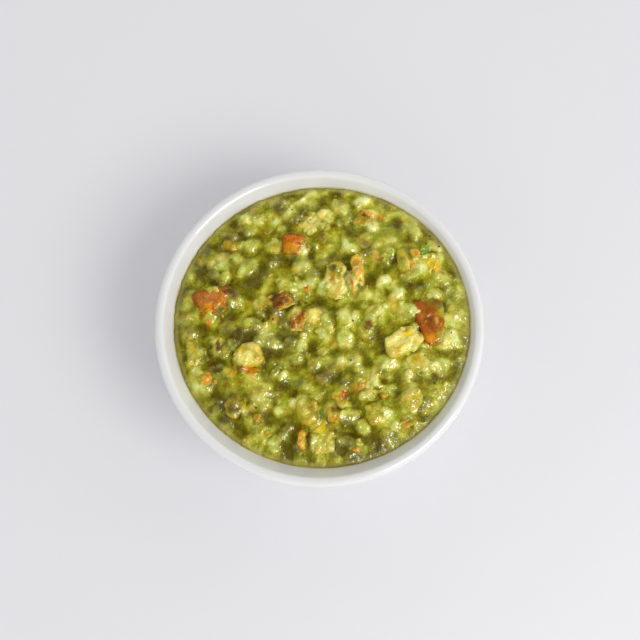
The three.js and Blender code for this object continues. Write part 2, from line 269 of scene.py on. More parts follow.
class Tree:
    """Adds nodes to a tree, a line each. An input is a value or a wire."""

    def __init__(self, tree):
        self.tree = tree

    def add(self, kind, inputs=(), out=0, **settings):
        node = self.tree.nodes.new(kind)
        for name, value in settings.items():
            setattr(node, name, value)
        for key, value in dict(inputs).items():
            self.feed(node.inputs[key], value)
        return Wire(self, node.outputs[out])

    def feed(self, socket, value):
        """Links a wire to an input, or sets the input's value."""
        if isinstance(value, Wire):
            self.tree.links.new(value.socket, socket)
        elif socket.type == "RGBA":
            socket.default_value = (*value[:3], 1)
        else:
            socket.default_value = value

    def math(self, operation, *values):
        return self.add("ShaderNodeMath", enumerate(values), operation=operation)

    def vector(self, operation, *values):
        return self.add("ShaderNodeVectorMath", enumerate(values), operation=operation)

    def scaled(self, value, factor):
        return self.add("ShaderNodeVectorMath", {0: value, "Scale": factor}, operation="SCALE")

    def part(self, vector, axis="X"):
        return self.add("ShaderNodeSeparateXYZ", {0: vector}, axis)

    def remap(self, value, low, high, to_low=0.0, to_high=1.0):
        limits = {0: value, 1: low, 2: high, 3: to_low, 4: to_high}
        return self.add("ShaderNodeMapRange", limits, interpolation_type="SMOOTHSTEP")

    def noise(self, vector, scale, detail=2.0, roughness=0.5, out=0):
        inputs = {"Vector": vector, "Scale": scale, "Detail": detail, "Roughness": roughness}
        return self.add("ShaderNodeTexNoise", inputs, out)

    def cells(self, vector, scale, **smooth):
        inputs = {"Vector": vector, "Scale": scale, **smooth}
        return self.add("ShaderNodeTexVoronoi", inputs, feature="SMOOTH_F1" if smooth else "F1")

    def blend(self, factor, a, b, kind="MIX"):
        inputs = {0: factor, 6: a, 7: b}
        return self.add("ShaderNodeMix", inputs, 2, data_type="RGBA", blend_type=kind)

    def tinted(self, base, tint):
        return self.blend(1.0, base, tint, "MULTIPLY")

    def ramp(self, factor, *stops):
        """A colour, or a grey where a stop gives one number, for each value of the factor."""
        wire = self.add("ShaderNodeValToRGB", {0: factor})
        elements = wire.socket.node.color_ramp.elements
        while len(elements) < len(stops):
            elements.new(1)
        for element, (position, value) in zip(elements, stops):
            element.position = position
            element.color = (*([value] * 3 if isinstance(value, float) else value), 1)
        return wire

    def attribute(self, name, out="Fac"):
        return self.add("ShaderNodeAttribute", out=out, attribute_name=name)

    def named(self, name):
        inputs = {"Name": name}
        return self.add("GeometryNodeInputNamedAttribute", inputs, data_type="FLOAT")

    def stored(self, geometry, name, value, domain="POINT"):
        inputs = {"Geometry": geometry, "Name": name, "Value": value}
        return self.add("GeometryNodeStoreNamedAttribute", inputs, domain=domain)

    def blurred(self, value, times):
        return self.add("GeometryNodeBlurAttribute", {"Value": value, "Iterations": times})

    def shifted(self, geometry, offset):
        inputs = {"Geometry": geometry, "Offset": offset}
        return self.add("GeometryNodeSetPosition", inputs)


def new_material(name):
    """A new material's tree, and the place on the piece, which its patterns follow."""
    material = bpy.data.materials.new(name)
    material.use_nodes = True
    tree = Tree(material.node_tree)
    tree.material, tree.shader = material, material.node_tree.nodes["Principled BSDF"]
    return tree, tree.add("ShaderNodeTexCoord", out="Object")


def dress(tree, base, roughness, bumps, **values):
    """Gives a material its colour, roughness, bumps and other shader values."""
    normal = {}
    for height, distance, strength in bumps:
        inputs = {"Height": height, "Distance": distance, "Strength": strength, **normal}
        normal = {"Normal": tree.add("ShaderNodeBump", inputs)}
    inputs = {"Base Color": base, "Roughness": roughness, **normal}
    for name, value in values.items():
        inputs[name.replace("_", " ").title().replace("Ior", "IOR")] = value
    for name, value in inputs.items():
        tree.feed(tree.shader.inputs[name], value)
    return tree.material


def shaded(colour, factor):
    return [part * factor for part in colour]


def new_geometry_tree(name, **titles):
    """A geometry tree with a Geometry input and output, and inputs given by type."""
    group = bpy.data.node_groups.new(name, "GeometryNodeTree")
    for way in ("INPUT", "OUTPUT"):
        group.interface.new_socket("Geometry", in_out=way, socket_type="NodeSocketGeometry")
    for kind, names in titles.items():
        for title in names.split(", "):
            group.interface.new_socket(title, in_out="INPUT", socket_type=f"NodeSocket{kind}")
    start = group.nodes.new("NodeGroupInput")
    tree = Tree(group)
    return tree, {socket.name: Wire(tree, socket) for socket in start.outputs}


def end_tree(tree, geometry, material):
    """Realizes what the tree made and gives it its material."""
    real = tree.add("GeometryNodeRealizeInstances", {0: geometry})
    dressed = tree.add("GeometryNodeSetMaterial", {"Geometry": real, "Material": material})
    tree.feed(tree.tree.nodes.new("NodeGroupOutput").inputs["Geometry"], dressed)
    return tree.tree


def run_tree(thing, tree, **values):
    """Sets the tree's inputs by name on an object and keeps the plain mesh that it makes."""
    modifier = thing.modifiers.new(tree.name, "NODES")
    modifier.node_group = tree
    for item in tree.interface.items_tree:
        key = item.name.lower().replace(" ", "_")
        if item.in_out == "INPUT" and key in values:
            modifier[item.identifier] = values[key]
    bpy.context.view_layer.update()
    depsgraph = bpy.context.evaluated_depsgraph_get()
    mesh = bpy.data.meshes.new_from_object(
        thing.evaluated_get(depsgraph), preserve_all_data_layers=True, depsgraph=depsgraph
    )
    thing.modifiers.remove(modifier)
    thing.data = mesh
    mesh.name = thing.name
    if not mesh.polygons:
        raise RuntimeError(f"{tree.name} made nothing for {thing.name}")


def new_mesh(name, points, faces):
    mesh = bpy.data.meshes.new(name)
    mesh.from_pydata(np.asarray(points).tolist(), [], faces)
    mesh.shade_smooth()
    return mesh


def new_object(name, mesh):
    thing = bpy.data.objects.new(name, mesh)
    bpy.context.scene.collection.objects.link(thing)
    return thing


def points_of(mesh):
    flat = np.empty(len(mesh.vertices) * 3)
    mesh.vertices.foreach_get("co", flat)
    return flat.reshape(-1, 3)


def store(mesh, name, values, kind="FLOAT"):
    """Stores one value, or one colour, for each point of a mesh."""
    attribute = mesh.attributes.get(name) or mesh.attributes.new(name, kind, "POINT")
    field = "value" if kind == "FLOAT" else "color"
    attribute.data.foreach_set(field, np.asarray(values, np.float32).ravel())


def keep(thing, slot, *nodes):
    """Lets a finished piece ride with the bowl, and hides the nodes it stands for. slot is not
    used.
    """
    points = points_of(thing.data)
    points[:, 2] = np.minimum(points[:, 2], FRAME_BOX[1].z)
    thing.data.vertices.foreach_set("co", points.ravel())
    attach(thing, "root")
    if nodes:
        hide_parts(*nodes)


def seeded(seed):
    """The same stream of numbers between 0 and 1 as the solids are drawn from."""
    state = seed
    while True:
        state = (state * 1664525 + 1013904223) % 2**32
        yield state / 2**32


# ---- bowl

WALL_STEPS, LIP_STEPS, INSIDE_STEPS, CORNER_STEPS = 40, 25, 48, 5


def bezier(controls, steps):
    """Points along a Bezier curve, both ends included."""
    t = np.linspace(0, 1, steps + 1)[:, None]
    rows = [np.repeat(np.array([control], float), steps + 1, axis=0) for control in controls]
    while len(rows) > 1:
        rows = [a + (b - a) * t for a, b in zip(rows, rows[1:])]
    return rows[0]


def wall_curves(s):
    """Outer wall, lip and inner wall as points of radius and height, going up and over."""
    lip = np.array([s.rim_radius - s.lip_radius, s.height - s.lip_radius])
    down = np.array([-math.sin(s.flare), -math.cos(s.flare)])
    across = np.array([math.cos(s.flare), -math.sin(s.flare)])
    outer_top = lip + across * s.lip_radius
    inner_top = lip - across * s.lip_radius
    foot_top = (s.foot_outer + s.foot_taper, s.foot_height)
    outer = bezier([foot_top, outer_top + down * s.outer_reach, outer_top], WALL_STEPS)
    around = np.linspace(-s.flare, math.pi - s.flare, LIP_STEPS)[1:-1]
    over = lip + s.lip_radius * np.stack([np.cos(around), np.sin(around)], 1)
    bend, floor = (s.floor_bend, s.floor_height), (s.floor_radius, s.floor_height)
    inner = bezier([inner_top, inner_top + down * s.inner_reach, bend, floor], INSIDE_STEPS)
    return outer, over, inner


def rounded(corner, before, after, radius):
    """A corner as a short curve between the lines to its two neighbours."""
    corner, before, after = (np.array(point, float) for point in (corner, before, after))
    start = corner + (before - corner) / np.linalg.norm(before - corner) * radius
    end = corner + (after - corner) / np.linalg.norm(after - corner) * radius
    return bezier([start, corner, end], CORNER_STEPS)


def bowl_profile(s):
    """The bowl's section from the axis below, round the foot and lip, to the axis above."""
    outer, over, inner = wall_curves(s)
    corners = [
        (0, s.foot_recess),
        (s.foot_inner - s.foot_taper, s.foot_recess),
        (s.foot_inner, 0),
        (s.foot_outer, 0),
        outer[0],
        outer[2],
    ]
    bends = [rounded(corners[i], corners[i - 1], corners[i + 1], s.corner) for i in (1, 2, 3, 4)]
    return np.concatenate([corners[:1], *bends, outer[2:], over, inner, [(0, s.floor_height)]])


def lathe_tree():
    """Turns a line of points round Z: a grid with a row for each point, wrapped and welded."""
    tree, given = new_geometry_tree("Lathe", Int="Segments", Material="Material")
    profile, segments = given["Geometry"], given["Segments"]
    rows = tree.add("GeometryNodeAttributeDomainSize", {0: profile}, component="MESH")
    columns = segments + 1
    grid = tree.add("GeometryNodeMeshGrid", {"Vertices X": rows, "Vertices Y": columns})
    index = tree.add("GeometryNodeInputIndex")
    row = tree.math("FLOOR", (index + 0.5) / columns)
    spin = (index - row * columns) / segments * TURN
    place = tree.add("GeometryNodeInputPosition")
    sample = {"Geometry": profile, "Value": place, "Index": row}
    point = tree.add("GeometryNodeSampleIndex", sample, data_type="FLOAT_VECTOR")
    radius = tree.part(point)
    x, y = radius * tree.math("COSINE", spin), radius * tree.math("SINE", spin)
    wrapped = tree.add("ShaderNodeCombineXYZ", {0: x, 1: y, 2: radius.out("Z")})
    turned = tree.add("GeometryNodeSetPosition", {"Geometry": grid, "Position": wrapped})
    welded = tree.add("GeometryNodeMergeByDistance", {0: turned, "Distance": 0.001 * MM})
    outward = tree.add("GeometryNodeFlipFaces", {0: welded})
    smooth = tree.add("GeometryNodeSetShadeSmooth", {0: outward})
    return end_tree(tree, smooth, given["Material"])


def glaze_material(s):
    """White glaze, a little lighter on top of the lip, with a painted reflection of the mash just
    above its edge, and bare clay underneath.
    """
    tree, place = new_material("White glaze")
    height = tree.part(place, "Z")
    cloud = tree.noise(place, 60, 3)
    tint = tree.blend(tree.remap(cloud, 0.35, 0.7), s.glaze, shaded(s.glaze, 0.96))
    # A little lighter on the top 1.2 mm of the lip.
    lip_top = tree.remap(height, s.height - 1.2 * MM, s.height, 0, 0.35)
    tint = tree.blend(lip_top, tint, shaded(s.glaze, 1.06))
    pinhole = tree.remap(tree.cells(place, 700), 0.03, 0.06, 0.4, 0)
    tint = tree.blend(pinhole, tint, s.clay)
    bare = tree.remap(height + cloud * (0.5 * MM), 0.42 * MM, 0.58 * MM, 1, 0)
    grit = tree.noise(place, 2500)
    clay = tree.blend(grit, shaded(s.clay, 0.85), shaded(s.clay, 1.12))
    # The mash's colour painted on the wall just above its edge: a painted reflection of the mash.
    reflection = tree.attribute("film") + cloud * (0.6 * MM)
    reflection = tree.remap(reflection, 0.25 * MM, 1.1 * MM, 0.8, 0)
    base = tree.blend(reflection, tree.blend(bare, tint, clay), s.film)
    roughness = tree.math("MAXIMUM", tree.remap(cloud, 0.3, 0.7, 0.1, 0.18), bare * 0.75)
    bumps = [(tree.noise(place, 45), 0.6 * MM, 0.12), (grit * bare, 0.2 * MM, 0.4)]
    return dress(tree, base, roughness, bumps, ior=1.5, coat_weight=0.4, coat_roughness=0.05)


class GUAC_OT_bowl(bpy.types.Operator):
    """Turn the bowl from its section"""

    bl_idname = "guacamole.bowl"
    bl_label = "Bowl"

    def execute(self, context):
        s = context.scene.guacamole_bowl
        section = bowl_profile(s)
        line = [(radius, 0, height) for radius, height in section]
        thing = new_object("glazed_bowl", new_mesh("glazed_bowl", line, []))
        run_tree(thing, lathe_tree(), segments=s.segments, material=glaze_material(s))
        form = MashForm(context.scene.guacamole_mash, s)
        x, y, z = points_of(thing.data).T
        outside = np.hypot(x, y) > form.inside_radius(z) + GAP
        # Height above the mash's edge, where the glaze gets its painted reflection of the mash.
        store(thing.data, "film", np.where(outside, 1, z - form.edge_height(np.arctan2(y, x))))
        keep(thing, "glaze", "bowl")
        return {"FINISHED"}


# ---- form of the guacamole

SWELLS = (((1, 0), 31 * MM, 1), ((0, 1), 23 * MM, 2), ((1, 1), 17 * MM, 0))
GAP = 0.3 * MM  # between the solids
SECTORS = 6  # the first ring of points has 6, and each has 6 more than the one inside it
HIDDEN_HEIGHTS = (29 * MM, 21 * MM, 13.5 * MM, 9 * MM)
PLAIN_TONE = 0.4  # between the lumps
TONE_STEP = 0.618  # from one lump to the next, so that neighbours seldom match


class MashForm:
    """Heights of the guacamole's top, by the rules that its solid follows."""

    def __init__(self, mash, bowl):
        self.s = mash
        self.bowl = bowl
        inner = wall_curves(bowl)[2]
        self.wall_radii, self.wall_heights = inner[::-1].T
        self.lumps = self.scatter_lumps()

    def scatter_lumps(self):
        """Rounded lumps of mash, of uneven size, stretched and turned at random."""
        draw = seeded(self.s.lump_seed)
        lumps = []
        for _ in range(self.s.lump_count):
            around = next(draw) * TURN
            distance = math.sqrt(next(draw)) * self.bowl.rim_radius
            spread = next(draw) ** 2
            radius = self.s.lump_smallest + spread * (self.s.lump_largest - self.s.lump_smallest)
            turn = next(draw) * math.pi
            narrowing = 1 - self.s.lump_flattening * next(draw)
            height = radius * self.s.lump_steepness * (0.5 + next(draw))
            centre = distance * math.cos(around), distance * math.sin(around)
            lumps.append((*centre, radius, turn, narrowing, height))
        return lumps

    def inside_radius(self, height):
        return np.interp(height, self.wall_heights, self.wall_radii)

    def edge_height(self, around):
        tilt = self.s.edge_tilt * np.cos(around - self.s.edge_tilt_angle)
        saddle = self.s.edge_saddle * np.cos(2 * around)
        return self.bowl.height - (self.s.edge_depth + tilt - saddle)

    def edge_radius(self, around):
        return self.inside_radius(self.edge_height(around)) - GAP / math.cos(self.bowl.flare)

    def lump_height(self, x, y):
        """Height of the highest lump at each point, and a tone for that lump."""
        highest, tone = np.zeros_like(x), np.full_like(x, PLAIN_TONE)
        for number, (x0, y0, radius, turn, narrowing, height) in enumerate(self.lumps):
            along = (x - x0) * math.cos(turn) + (y - y0) * math.sin(turn)
            across = (y - y0) * math.cos(turn) - (x - x0) * math.sin(turn)
            distance = np.hypot(along, across / narrowing) / radius
            lump = height * (1 - distance**self.s.lump_edge_power)
            tone[lump > highest] = (number * TONE_STEP) % 1
            highest = np.maximum(highest, lump)
        return highest, tone

    def height(self, x, y, details=False):
        """Top of the guacamole at each point."""
        x, y = np.atleast_1d(np.asarray(x, float)), np.atleast_1d(np.asarray(y, float))
        around = np.arctan2(y, x)
        reach = np.minimum(1, np.hypot(x, y) / self.edge_radius(around))
        mound = self.s.mound_rise * (1 - reach**self.s.mound_power)
        lump, tone = self.lump_height(x, y)
        swell = sum(
            self.s.swell * np.sin(TURN * (way[0] * x + way[1] * y) / wave + shift)
            for way, wave, shift in SWELLS
        )
        lively = 1 - reach**self.s.lump_fade_power
        lump *= lively
        height = self.edge_height(around) + mound + lump + swell * lively
        return (height, lump, tone, reach) if details else height


# ---- pieces

# Each row: x, y, width, length, height (mm, before the turn about Z), turn (degrees)
AVOCADO_CHUNKS = {
    "centre": (5.9, 14.4, 9.8, 15, 8, 4),
    "left": (-24.6, -12.2, 9.5, 8.5, 7, 20),
    "right": (28.7, -7.9, 14, 7.5, 6.5, 28),
    "front": (1.2, -39.6, 10, 12, 7, -6),
    "middle": (13.8, -22.4, 10, 11, 7, 35),
    "side": (39.2, 18.8, 8, 11, 6.5, 10),
    "back": (-2.9, 36.3, 12, 8.5, 6.5, -30),
    "corner": (-24.8, 36.2, 9, 8.5, 6, 40),
}
TOMATO_DICE = {
    "dice_back": (-9.2, 27.4, 9, 8, 6, -8),
    "wedge_left": (-37, 6.6, 11, 10.5, 7, 12),
    "flesh_right": (38.5, -1.4, 8.8, 15.5, 7, 10),
    "strip_centre": (13.4, 17.2, 3.8, 12.5, 6, 6),
}
PALE_TOMATO = ("strip_centre",)
TOMATO_TAPERS = {"dice_back": 0.05, "wedge_left": 0.4, "flesh_right": 0.35, "strip_centre": 0.1}
TOMATO_SKINS = {
    "upper": (-13.4, 7, 10, 5.6, 1.3, 24),
    "lower": (-7.2, 0.3, 9.5, 4.6, 1.3, 78),
    "back": (16.4, 38.4, 10.5, 5, 1.3, -27),
}
SKIN_CURL_RADIUS = 6 * MM
AVOCADO_BITS = (
    (-1.4, 1.2, 5.8, 5.8, 5.5, 0), (-44.2, -8.4, 4.6, 12.5, 4, 4),
    (-28.7, -29.8, 7, 9, 4.5, -20), (-4, -31.6, 7.4, 9, 5, 10),
    (33.6, -15, 6.5, 7, 4.5, 30), (31.4, -27.6, 7, 8, 5, -40),
    (18.6, -32, 7, 9, 5, 20), (-30.6, 29.4, 8, 5.4, 4, 0), (29.6, 19.6, 4.6, 12, 4.5, 12),
)
TOMATO_BITS = (
    (-23.6, -18.6, 7, 4.6, 4.4, -12), (7.2, -27.6, 4.6, 5.6, 4, 20), (4.6, -33.4, 4, 5, 3.6, 0),
    (-35, -9.2, 3.4, 7, 3, 8), (-39, -20.8, 4.6, 4, 3.6, 30), (33.6, 23.6, 3, 4.4, 3.4, 0),
    (-6, -41, 3, 8, 4, 4), (16.4, -2.5, 2.8, 5, 3, -20), (-4.7, 11.6, 2.8, 2.8, 3, 0),
    (21.6, -25.6, 3, 4, 3.4, 15), (29, -35.6, 6, 3.6, 3.4, 40), (-21.2, -34.2, 3, 3.4, 3.2, 0),
    (-17.4, -39, 3.6, 3, 3.2, 25), (12.4, -43.4, 3, 4, 3.2, 0),
)
BIT_SINK = 0.1  # of a bit's height, from its middle up to the guacamole's top
BOXINESS = 4  # 2 is an ellipsoid, and more is squarer
WANDER = 0.07  # of a cut face, for the piece's size
WANDER_WAVES = np.array([3, 3, 4])
FIRST_SEED = {"chunks": 1, "dice": 20, "bits": 40, "skins": 60, "laid": 80}
COLLAR_START = 2.4  # a piece's size by this is where the mash starts to pile up


def ball(fineness):
    """Points and faces of an icosphere of radius 1."""
    shell = bmesh.new()
    bmesh.ops.create_icosphere(shell, subdivisions=fineness, radius=1)
    points = np.array([vertex.co for vertex in shell.verts])
    faces = [[vertex.index for vertex in face.verts] for face in shell.faces]
    shell.free()
    return points, faces


def cut_piece(size, seed, fineness, boxiness=BOXINESS, taper=0):
    """A cut piece with soft corners and uneven faces. taper narrows it towards -Y."""
    points, faces = ball(fineness)
    draw = seeded(seed)
    shifts = np.array([next(draw) * TURN for _ in WANDER_WAVES])
    norm = (np.abs(points) ** boxiness).sum(1)
    wander = np.sin(WANDER_WAVES * points + shifts).sum(1)
    points *= (norm ** (-1 / boxiness) * (1 + WANDER * wander))[:, None]
    points[:, 0] *= 1 + taper * points[:, 1]
    return points * np.array(size) / 2, faces


def turned(points, degrees):
    """Points turned about Z."""
    c, s = math.cos(math.radians(degrees)), math.sin(math.radians(degrees))
    x, y, z = points.T
    return np.stack([c * x - s * y, s * x + c * y, z], 1)


def collar(s, x, y):
    """How far the mash piles up against the pieces at each point."""
    height = np.zeros_like(x)
    tables = (AVOCADO_CHUNKS.values(), TOMATO_DICE.values(), TOMATO_SKINS.values(),
              AVOCADO_BITS, TOMATO_BITS)
    for row in (row for table in tables for row in table):
        local = np.stack([x - row[0] * MM, y - row[1] * MM], 1)
        local = turned(np.c_[local, np.zeros_like(x)], -row[5])[:, :2]
        half = np.array(size_of(row)[:2]) / COLLAR_START
        outside = np.hypot(*np.maximum(np.abs(local) - half, 0).T)
        height = np.maximum(height, np.exp(-((outside / s.collar_width) ** 2)))
    return s.collar_height * height


def size_of(row):
    return [side * MM for side in row[2:5]]


# ---- the relief

# Each part of the relief: the level that is taken from it, and its share of a curd's height
RELIEF_PARTS = {"curd": (0.4, 0.25), "swell": (0.5, 3.4), "fold": (0.5, 0.8), "pleat": (0.5, 0.42)}
CAVITY_REACH = 90  # how often the relief is blurred to find what lies round a point
CAVITY_SOFTNESS = 5
SAME_AS_MASH = ("curd_stretch", "curd_angle", "crumb_share", "crease_share", "grain_size",
                "bead_spacing", "bead_height", "cavity_depth")


def dome(tree, distance, radius):
    """1 at the middle of a cell, falling as a rounded top does to 0 at a distance."""
    share = tree.math("MAXIMUM", distance, 0.0) / radius
    return tree.math("MAXIMUM", 1.0 - tree.math("POWER", share, 2.0), 0.0)


def billow(tree, place, shift, scale):
    """Rounded folds with sharp creases between them, from 0 to 1."""
    wave = tree.noise(tree.vector("ADD", place, shift), scale, 1) - 0.5
    return tree.math("MINIMUM", tree.math("ABSOLUTE", wave) * 5.0, 1.0)


def relief_tree():
    """Soft stretched curds, fine grain and sparse beads, pushed out along the normals.

    Where the attribute calm is 1 the surface stays as it is. The tree stores hue,
    which differs from curd to curd, cavity, 0 in a crease and 1 on a crest, and
    level, 1 where the surface faces up."""
    tree, given = new_geometry_tree(
        "Food relief", Int="Softness", Material="Material",
        Float="Curd Size, Curd Height, Curd Stretch, Curd Angle, Crumb Share, Crease Share, "
              "Grain Size, Grain Height, Bead Spacing, Bead Height, Cavity Depth",
    )
    place = tree.add("GeometryNodeInputPosition")
    normal = tree.add("GeometryNodeInputNormal")
    scale = 1.0 / given["Curd Size"]
    drift = tree.vector("SUBTRACT", tree.noise(place, scale * 0.45, out=1), (0.5, 0.5, 0.5))
    pushed = tree.vector("ADD", place, tree.scaled(drift, given["Curd Size"] * 1.1))
    swung = tree.add("ShaderNodeVectorRotate", {0: pushed, "Angle": given["Curd Angle"]},
                     rotation_type="Z_AXIS", invert=True)
    narrowed = tree.add("ShaderNodeCombineXYZ", {0: 1.0 / given["Curd Stretch"], 1: 1.0, 2: 1.0})
    warped = tree.vector("MULTIPLY", swung, narrowed)
    curds = tree.cells(warped, scale, Smoothness=0.55)
    hue = tree.part(curds.out("Color"))
    parts = {
        "curd": dome(tree, curds, 0.7) * tree.remap(hue.out("Y"), 0.2, 0.8, 0.4, 1.0),
        "swell": tree.noise(warped, scale * 0.5, 4, 0.55),
        "fold": billow(tree, warped, (3.7, 1.3, 0), scale),
        "pleat": billow(tree, place, (1.9, 5.1, 0), scale * 2.0),
    }
    crumbs = tree.cells(warped, scale * 2.2, Smoothness=0.4)
    crumb = dome(tree, crumbs, 0.62) * tree.remap(tree.part(crumbs.out("Color")), 0.2, 0.8)
    grain = (tree.noise(place, 1.0 / given["Grain Size"]) - 0.5) * given["Grain Height"]
    beads = tree.cells(place, 1.0 / given["Bead Spacing"])
    picked = tree.remap(tree.part(beads.out("Color")), 0.35, 0.45)
    bead = dome(tree, beads, 0.42) * picked * given["Bead Height"]
    lively = tree.remap(tree.noise(place, 110, 1), 0.38, 0.6, 0.5, 1.1)

    height = sum((parts[name] - level) * share for name, (level, share) in RELIEF_PARTS.items())
    height = tree.blurred(height, given["Softness"])
    height = (height + (crumb - 0.2) * given["Crumb Share"]) * given["Curd Height"]
    height = (height + grain + bead) * (1.0 - tree.named("calm")) * lively
    height = tree.math("MAXIMUM", height, height * given["Crease Share"])

    level = tree.named("lump") + height
    rise = (level - tree.blurred(level, CAVITY_REACH)) / given["Cavity Depth"]
    cavity = tree.blurred(rise + 0.5, CAVITY_SOFTNESS)
    # Lifts the lowest cavity, so that the materials paint less shade in the deepest pits.
    cavity = tree.math("MAXIMUM", cavity, cavity * 0.5 + 0.12)
    geometry = tree.stored(given["Geometry"], "hue", hue)
    geometry = tree.stored(geometry, "cavity", cavity)
    geometry = tree.shifted(geometry, tree.scaled(normal, height))
    geometry = tree.stored(geometry, "level", tree.part(normal, "Z"))
    return end_tree(tree, geometry, given["Material"])


def relief(thing, material, s, curd_height, grain_height, softness, fineness=1.0):
    """Covers a piece that is in its place with curds, in the same run as the mash's."""
    run_tree(thing, bpy.data.node_groups.get("Food relief") or relief_tree(),
             curd_size=s.curd_size / fineness, curd_height=curd_height,
             grain_height=grain_height, softness=softness, material=material,
             **{name: getattr(s, name) for name in SAME_AS_MASH})


# ---- stains and painted highlights

# For each colour, rows of x, y, half width, half length (mm, before the turn), turn (degrees)
# Most rows are stains and the pieces' own colours; those noted below are painted highlights.
STAINS_AND_HIGHLIGHTS = {
    "butter": (screen(244, 222, 112), ((-2.2, 1, 2.6, 2.6, 0),)),
    "cream": (screen(226, 216, 118), (
        # (-8.2, 6.8) here is a painted highlight on the edge of the upper tomato skin.
        (8.9, 14.7, 1.4, 4.3, 0), (-25.1, -12.9, 2.4, 2.1, 0), (-8.2, 6.8, 1.4, 0.7, 60),
        # These two narrow cream marks are painted highlights along the right chunk's ridges.
        (24.9, -8.6, 2.8, 0.9, 35), (29.3, -10.4, 2.4, 0.9, 35),
    )),
    "pale": (screen(204, 192, 94), (
        (-6.2, 24, 1.7, 1.1, 0), (15.8, -26.1, 3.1, 1.1, 35), (-2.3, 36.3, 4.2, 1.8, 20),
    )),
    "yellow": (screen(216, 190, 38), (
        # (-10.6, 5.7) here is a painted highlight on the edge of the upper tomato skin.
        (-26.5, -11.5, 1, 1.1, 0), (-10.6, 5.7, 1.7, 0.6, 45), (0.2, -36.8, 2.4, 2.5, 0),
        (39, 21.2, 1.7, 1.8, 0),
    )),
    "amber": (screen(246, 196, 36), (
        (12.8, 20.2, 1.4, 2.1, 0), (30.4, -5.8, 2.1, 1.1, 30), (41.7, 19.4, 1.4, 1.8, 0),
    )),
    "ochre": (screen(172, 136, 12), (
        (-11.1, 24.4, 1.7, 1.4, 0), (-41.2, 2.5, 1, 2.9, 0), (4.4, 15.4, 1, 3.2, 5),
        (13.1, -23.6, 2.8, 2.1, 30), (14.5, 37.1, 2.1, 1.4, 0),
    )),
    "peach": (screen(234, 194, 88), (
        (13.1, 15, 1, 3.2, 0), (12.4, 10.2, 0.9, 1.4, 0), (-21.4, -10.4, 1, 1.4, 0),
        # (-8.8, 2.4) and (-7.4, -2.6) here are painted highlights on the edges of the lower tomato
        # skin.
        (-8.8, 2.4, 0.6, 3.2, -12), (-7.4, -2.6, 1.4, 0.9, 0), (-15.7, 0.8, 1.4, 1.8, 0),
        # (40.3, -0.9) here is a painted glint on the right tomato.
        (40.3, -0.9, 0.7, 1.4, 0), (32.5, 19.6, 1.4, 2.1, 0), (18.8, 40.2, 2.8, 1.4, -20),
        (19.9, 23.5, 1.7, 2.5, 0),
    )),
    "orange": (screen(212, 140, 10), (
        (-10.4, 26.4, 2.4, 1.4, 0), (-38.8, 4.3, 1.9, 2.5, -10), (-38.6, -0.7, 1, 1.8, -15),
        (-23.1, -17.6, 2.1, 1.4, 0), (38.4, -7.1, 2.3, 2, 0), (22.4, 39.1, 1, 1.8, -40),
        (-38.5, -21.3, 1.4, 1.1, 0),
    )),
    "salmon": (screen(214, 134, 60), ((-38.6, 7.9, 4.2, 2.2, 0),)),
    "red": (screen(198, 104, 10), (
        (-9, 29.1, 3.1, 1.4, 0), (11.3, 12.4, 0.5, 1.8, 10), (-25.1, -17.6, 1, 1.1, 0),
        (-4.7, 11.9, 1, 1.1, 0), (36.4, -3.6, 1.3, 2.2, 0), (8.3, -26, 1.4, 1.8, 0),
    )),
    "rust": (screen(148, 74, 3), (
        (-9, 31, 2.1, 0.7, 0), (-4.4, 26.6, 0.7, 1.4, 0), (-14.4, 5.7, 1.7, 1.1, 0),
        (-6.4, 1.7, 1, 2.5, -20), (-9.5, -1.1, 1, 2.5, 0), (37.3, 2.7, 2.8, 3.2, 0),
        (33.9, 6, 1.7, 1.4, -30),
    )),
    "russet": (screen(128, 60, 2), ((37.3, -2.6, 3.8, 4.4, 0),)),
    "brown": (screen(114, 74, 4), (
        (-32, 10.5, 2.1, 1.4, 0), (-27.2, -17.2, 1.4, 1.1, 0), (-14.8, 8.2, 2.4, 1.8, 0),
        (36.8, 2.2, 1.3, 1.9, 15), (16.8, -2.1, 1.6, 2, -30), (-3.5, -40.8, 0.9, 2.9, 0),
        (5.6, -31.1, 1.7, 1.4, 0), (-35, -9.2, 1, 2.1, 0),
    )),
    "mash": (screen(162, 152, 50), (
        (-33.9, 2.1, 2.4, 2.9, 30), (5.8, 23.1, 4.2, 1.1, 10), (38.9, 5.8, 1.9, 1.8, -20),
        (41.9, 3.4, 1.7, 3.2, 10), (41.9, -6.3, 1.7, 3.2, -20),
    )),
}
# The fade, the power and the least share hold for the painted highlights as for the stains.
MARK_FADE, MARK_POWER = 0.7, 1.5  # how fast a stain fades, and how suddenly
MARK_LEAST = 1e-9  # keeps the share of each colour finite where no stain reaches


def paint(mesh):
    """Stores the colour and the strength of the stains and painted highlights at each point."""
    x, y, _ = points_of(mesh).T / MM
    colour, strength = np.zeros((len(x), 4)), np.zeros(len(x))
    total = np.full((len(x), 1), MARK_LEAST)
    rows = ((tint, *row) for tint, group in STAINS_AND_HIGHLIGHTS.values() for row in group)
    for tint, x0, y0, half_width, half_length, turn in rows:
        c, s = math.cos(math.radians(turn)), math.sin(math.radians(turn))
        across, along = (x - x0) * c + (y - y0) * s, (y - y0) * c - (x - x0) * s
        distance = (across / half_width) ** 2 + (along / half_length) ** 2
        here = np.exp(-MARK_FADE * distance**MARK_POWER)
        share = here[:, None] ** 2
        colour, total = colour + share * (*tint, 1), total + share
        strength = np.maximum(strength, here)
    store(mesh, "stain", colour / total, "FLOAT_COLOR")
    store(mesh, "stained", strength)


# ---- mash


